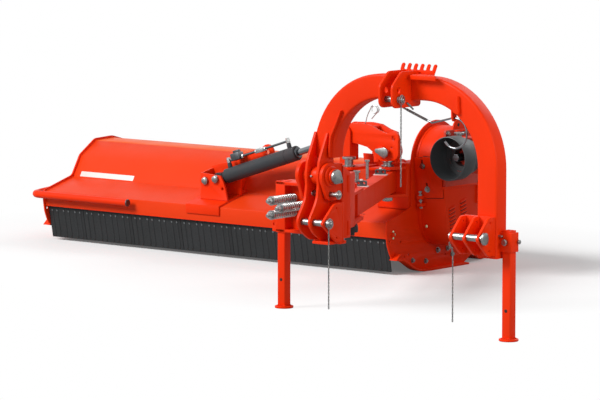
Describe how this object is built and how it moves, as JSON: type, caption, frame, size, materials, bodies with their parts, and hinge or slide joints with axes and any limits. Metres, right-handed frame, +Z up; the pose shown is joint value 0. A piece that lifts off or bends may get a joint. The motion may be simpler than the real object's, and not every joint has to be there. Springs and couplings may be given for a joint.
{
  "type": "side mulcher",
  "caption": "Tractor-mounted offset flail mulcher with a hitch headstock, parallelogram side shift arms, hydraulic tilt, hooded rotor deck, rubber flaps, rear roller and parking stands.",
  "frame": {"origin": "Middle of the bounding box, on the ground that the skids, roller and stand feet rest on.", "axes": "+X runs along the deck towards the headstock side, +Y points rearwards away from the tractor, +Z is up. Rest is the parked position of the picture: deck level and shifted out, stands down, pins in."},
  "size_m": [3.6854, 2.182, 1.0655],
  "materials": {
    "headstock_arch": "orange red powder coat",
    "left_hitch_plates": "orange red powder coat",
    "right_hitch_plates": "orange red powder coat",
    "top_hitch_plates": "orange red powder coat",
    "hose_comb": "orange red powder coat",
    "right_pin_chain": "bright zinc plated steel",
    "left_hitch_pin": "bright zinc plated steel",
    "left_pin_chain": "bright zinc plated steel",
    "right_hitch_pin": "bright zinc plated steel",
    "top_hitch_pin": "bright zinc plated steel",
    "top_pin_chain": "bright zinc plated steel",
    "pto_hook": "chrome plated steel",
    "right_stand": "orange red powder coat",
    "right_stand_lock_pin": "bright zinc plated steel",
    "float_frame": "orange red powder coat",
    "float_pivot_pin": "bright zinc plated steel",
    "breakaway_spring_1": "bright zinc plated steel",
    "breakaway_spring_2": "bright zinc plated steel",
    "breakaway_spring_3": "bright zinc plated steel",
    "float_lock_pin": "bright zinc plated steel",
    "left_stand": "orange red powder coat",
    "spring_bolt_set": "bright zinc plated steel",
    "arm_base": "orange red powder coat",
    "front_arm": "orange red powder coat",
    "front_arm_outer_pin": "bright zinc plated steel",
    "pipe_clamp_inner": "dark grey moulded plastic",
    "pipe_clamp_outer": "dark grey moulded plastic",
    "rear_arm": "orange red powder coat",
    "shift_cylinder_barrel": "dark grey paint",
    "shift_cylinder_rod": "chrome plated steel",
    "tilt_carrier": "orange red powder coat",
    "rocker_pin": "bright zinc plated steel",
    "rocker_arm": "orange red powder coat",
    "hose_guide": "plain steel",
    "tilt_link": "orange red powder coat",
    "hood_shell": "orange red powder coat",
    "left_end_plate": "orange red powder coat",
    "right_end_plate": "orange red powder coat",
    "cylinder_bracket": "orange red powder coat",
    "tilt_hinge_bracket": "orange red powder coat",
    "bumper_tube": "orange red powder coat",
    "belt_cover": "orange red powder coat",
    "gearbox": "painted cast iron",
    "pto_guard": "dark grey moulded plastic",
    "drive_belts": "dark rubber",
    "tilt_cylinder_barrel": "dark grey paint",
    "valve_line": "plain steel",
    "tilt_cylinder_rod": "chrome plated steel",
    "rotor": "plain steel",
    "drive_pulley": "plain steel",
    "gearbox_input_shaft": "plain steel",
    "rear_roller": "orange red powder coat",
    "flap_1": "dark rubber",
    "flap_2": "dark rubber",
    "flap_3": "dark rubber",
    "flap_4": "dark rubber",
    "flap_5": "dark rubber",
    "flap_6": "dark rubber",
    "flap_7": "dark rubber"
  },
  "bodies": {
    "headstock": {"headstock_arch": "headstock_arch", "left_hitch_plates": "left_hitch_plates", "right_hitch_plates": "right_hitch_plates", "top_hitch_plates": "top_hitch_plates", "hose_comb": "hose_comb", "right_pin_chain": "right_pin_chain"},
    "left_pin": {"left_hitch_pin": "left_hitch_pin", "left_pin_chain": "left_pin_chain"},
    "right_pin": {"right_hitch_pin": "right_hitch_pin"},
    "top_pin": {"top_hitch_pin": "top_hitch_pin", "top_pin_chain": "top_pin_chain"},
    "hook": {"pto_hook": "pto_hook"},
    "stand_right": {"right_stand": "right_stand"},
    "stand_lock": {"right_stand_lock_pin": "right_stand_lock_pin"},
    "float_unit": {"float_frame": "float_frame", "float_pivot_pin": "float_pivot_pin", "breakaway_spring_1": "breakaway_spring_1", "breakaway_spring_2": "breakaway_spring_2", "breakaway_spring_3": "breakaway_spring_3"},
    "float_lock": {"float_lock_pin": "float_lock_pin"},
    "stand_left": {"left_stand": "left_stand"},
    "bolt_set": {"spring_bolt_set": "spring_bolt_set"},
    "base": {"arm_base": "arm_base"},
    "arm_front": {"front_arm": "front_arm", "front_arm_outer_pin": "front_arm_outer_pin", "pipe_clamp_inner": "pipe_clamp_inner", "pipe_clamp_outer": "pipe_clamp_outer"},
    "arm_rear": {"rear_arm": "rear_arm"},
    "shift_barrel": {"shift_cylinder_barrel": "shift_cylinder_barrel"},
    "shift_rod": {"shift_cylinder_rod": "shift_cylinder_rod"},
    "carrier": {"tilt_carrier": "tilt_carrier", "rocker_pin": "rocker_pin"},
    "rocker": {"rocker_arm": "rocker_arm", "hose_guide": "hose_guide"},
    "link": {"tilt_link": "tilt_link"},
    "deck": {"hood_shell": "hood_shell", "left_end_plate": "left_end_plate", "right_end_plate": "right_end_plate", "cylinder_bracket": "cylinder_bracket", "tilt_hinge_bracket": "tilt_hinge_bracket", "bumper_tube": "bumper_tube", "belt_cover": "belt_cover", "gearbox": "gearbox", "pto_guard": "pto_guard", "drive_belts": "drive_belts"},
    "tilt_barrel": {"tilt_cylinder_barrel": "tilt_cylinder_barrel", "valve_line": "valve_line"},
    "tilt_rod": {"tilt_cylinder_rod": "tilt_cylinder_rod"},
    "rotor_unit": {"rotor": "rotor"},
    "pulley": {"drive_pulley": "drive_pulley"},
    "input": {"gearbox_input_shaft": "gearbox_input_shaft"},
    "roller": {"rear_roller": "rear_roller"},
    "flap_1_panel": {"flap_1": "flap_1"},
    "flap_2_panel": {"flap_2": "flap_2"},
    "flap_3_panel": {"flap_3": "flap_3"},
    "flap_4_panel": {"flap_4": "flap_4"},
    "flap_5_panel": {"flap_5": "flap_5"},
    "flap_6_panel": {"flap_6": "flap_6"},
    "flap_7_panel": {"flap_7": "flap_7"}
  },
  "joints": [
    {"name": "left_pin_slide", "type": "slide", "parent": "headstock", "child": "left_pin", "axis": [1, 0, 0], "range_m": [0, 0.17]},
    {"name": "right_pin_slide", "type": "slide", "parent": "headstock", "child": "right_pin", "axis": [1, 0, 0], "range_m": [0, 0.165]},
    {"name": "top_pin_slide", "type": "slide", "parent": "headstock", "child": "top_pin", "axis": [1, 0, 0], "range_m": [0, 0.13]},
    {"name": "hook_swing", "type": "hinge", "parent": "headstock", "child": "hook", "pos_m": [1.55075, -0.949, 0.862], "axis": [-1, 0, 0], "range_deg": [0, 40]},
    {"name": "right_stand_slide", "type": "slide", "parent": "headstock", "child": "stand_right", "axis": [0, 0, 1], "range_m": [0, 0.276]},
    {"name": "stand_lock_slide", "type": "slide", "parent": "headstock", "child": "stand_lock", "axis": [0, -1, 0], "range_m": [0, 0.036]},
    {"name": "float", "type": "hinge", "parent": "headstock", "child": "float_unit", "pos_m": [0.88675, -0.984, 0.595], "axis": [1, 0, 0], "range_deg": [-4, 6]},
    {"name": "float_lock_slide", "type": "slide", "parent": "float_unit", "child": "float_lock", "axis": [1, 0, 0], "range_m": [0, 0.16]},
    {"name": "left_stand_slide", "type": "slide", "parent": "float_unit", "child": "stand_left", "axis": [0, 0, 1], "range_m": [0, 0.23]},
    {"name": "spring_bolt_slide", "type": "slide", "parent": "float_unit", "child": "bolt_set", "axis": [0, 1, 0], "range_m": [0, 0.0506], "deforming": ["breakaway_spring_1", "breakaway_spring_2", "breakaway_spring_3"]},
    {"name": "breakaway", "type": "hinge", "parent": "float_unit", "child": "base", "pos_m": [0.88675, -0.819, 0.45], "axis": [0, 0, -1], "range_deg": [0, 12], "stiffness_Nm_per_rad": 4000, "springref_deg": -8.59, "deforming": ["breakaway_spring_1", "breakaway_spring_2", "breakaway_spring_3"]},
    {"name": "side_shift", "type": "hinge", "parent": "base", "child": "arm_front", "pos_m": [0.70318, -0.51089, 0.425], "axis": [0, 0, 1], "range_deg": [-25, 37]},
    {"name": "rear_arm_swing", "type": "hinge", "parent": "base", "child": "arm_rear", "pos_m": [0.57318, -0.62089, 0.425], "axis": [0, 0, 1], "range_deg": [-26, 38]},
    {"name": "carrier_level", "type": "hinge", "parent": "arm_front", "child": "carrier", "pos_m": [0.30675, 0.241, 0.425], "axis": [0, 0, 1], "range_deg": [-38, 26]},
    {"name": "shift_barrel_swing", "type": "hinge", "parent": "base", "child": "shift_barrel", "pos_m": [0.70318, -0.51089, 0.318], "axis": [0, 0, 1], "range_deg": [-26, 38]},
    {"name": "shift_rod_slide", "type": "slide", "parent": "shift_barrel", "child": "shift_rod", "axis": [-0.6341, 0.7732, 0], "range_m": [-0.075, 0.108]},
    {"name": "deck_tilt", "type": "hinge", "parent": "carrier", "child": "deck", "pos_m": [0.24675, 0.501, 0.465], "axis": [0, 1, 0], "range_deg": [-50, 90]},
    {"name": "rocker_swing", "type": "hinge", "parent": "carrier", "child": "rocker", "pos_m": [0.32875, 0.221, 0.563], "axis": [0, 1, 0], "range_deg": [-28.5, 51]},
    {"name": "link_swing", "type": "hinge", "parent": "rocker", "child": "link", "pos_m": [0.11375, 0.331, 0.638], "axis": [0, 1, 0], "range_deg": [-21.5, 12]},
    {"name": "tilt_barrel_swing", "type": "hinge", "parent": "deck", "child": "tilt_barrel", "pos_m": [-0.75725, 0.361, 0.358], "axis": [0, 1, 0], "range_deg": [-2.5, 3.5]},
    {"name": "tilt_rod_slide", "type": "slide", "parent": "tilt_barrel", "child": "tilt_rod", "axis": [0.952, 0, 0.306], "range_m": [-0.22, 0.15]},
    {"name": "rotor_spin", "type": "hinge", "parent": "deck", "child": "rotor_unit", "pos_m": [-0.74325, 0.636, 0.23], "axis": [1, 0, 0], "continuous": true},
    {"name": "drive_pulley_spin", "type": "hinge", "parent": "deck", "child": "pulley", "pos_m": [0.38675, 0.611, 0.533], "axis": [1, 0, 0], "continuous": true},
    {"name": "input_shaft_spin", "type": "hinge", "parent": "deck", "child": "input", "pos_m": [0.55675, 0.501, 0.533], "axis": [0, 1, 0], "continuous": true},
    {"name": "roller_spin", "type": "hinge", "parent": "deck", "child": "roller", "pos_m": [-0.74325, 1.001, 0.075], "axis": [1, 0, 0], "continuous": true},
    {"name": "flap_1_swing", "type": "hinge", "parent": "deck", "child": "flap_1_panel", "pos_m": [-1.54325, 0.2705, 0.186], "axis": [1, 0, 0], "range_deg": [0, 45]},
    {"name": "flap_2_swing", "type": "hinge", "parent": "deck", "child": "flap_2_panel", "pos_m": [-1.34325, 0.2705, 0.186], "axis": [1, 0, 0], "range_deg": [0, 45]},
    {"name": "flap_3_swing", "type": "hinge", "parent": "deck", "child": "flap_3_panel", "pos_m": [-1.14325, 0.2705, 0.186], "axis": [1, 0, 0], "range_deg": [0, 45]},
    {"name": "flap_4_swing", "type": "hinge", "parent": "deck", "child": "flap_4_panel", "pos_m": [-0.94325, 0.2705, 0.186], "axis": [1, 0, 0], "range_deg": [0, 45]},
    {"name": "flap_5_swing", "type": "hinge", "parent": "deck", "child": "flap_5_panel", "pos_m": [-0.74325, 0.2705, 0.186], "axis": [1, 0, 0], "range_deg": [0, 45]},
    {"name": "flap_6_swing", "type": "hinge", "parent": "deck", "child": "flap_6_panel", "pos_m": [-0.54325, 0.2705, 0.186], "axis": [1, 0, 0], "range_deg": [0, 45]},
    {"name": "flap_7_swing", "type": "hinge", "parent": "deck", "child": "flap_7_panel", "pos_m": [-0.34325, 0.2705, 0.186], "axis": [1, 0, 0], "range_deg": [0, 45]}
  ],
  "couplings": [
    {"joint": "spring_bolt_slide", "follows": "breakaway", "m_per_rad": 0.24},
    {"joint": "rear_arm_swing", "follows": "side_shift", "ratio": 1},
    {"joint": "carrier_level", "follows": "side_shift", "ratio": -1},
    {"joint": "shift_barrel_swing", "follows": "side_shift", "ratio": 0.985},
    {"joint": "shift_rod_slide", "follows": "side_shift", "m_per_rad": 0.161},
    {"joint": "rocker_swing", "follows": "deck_tilt", "ratio": 0.55},
    {"joint": "link_swing", "follows": "deck_tilt", "ratio": -0.224},
    {"joint": "tilt_barrel_swing", "follows": "deck_tilt", "ratio": 0.033},
    {"joint": "tilt_rod_slide", "follows": "deck_tilt", "m_per_rad": -0.1356},
    {"joint": "drive_pulley_spin", "follows": "rotor_spin", "ratio": 0.9444},
    {"joint": "input_shaft_spin", "follows": "rotor_spin", "ratio": 0.9444}
  ]
}
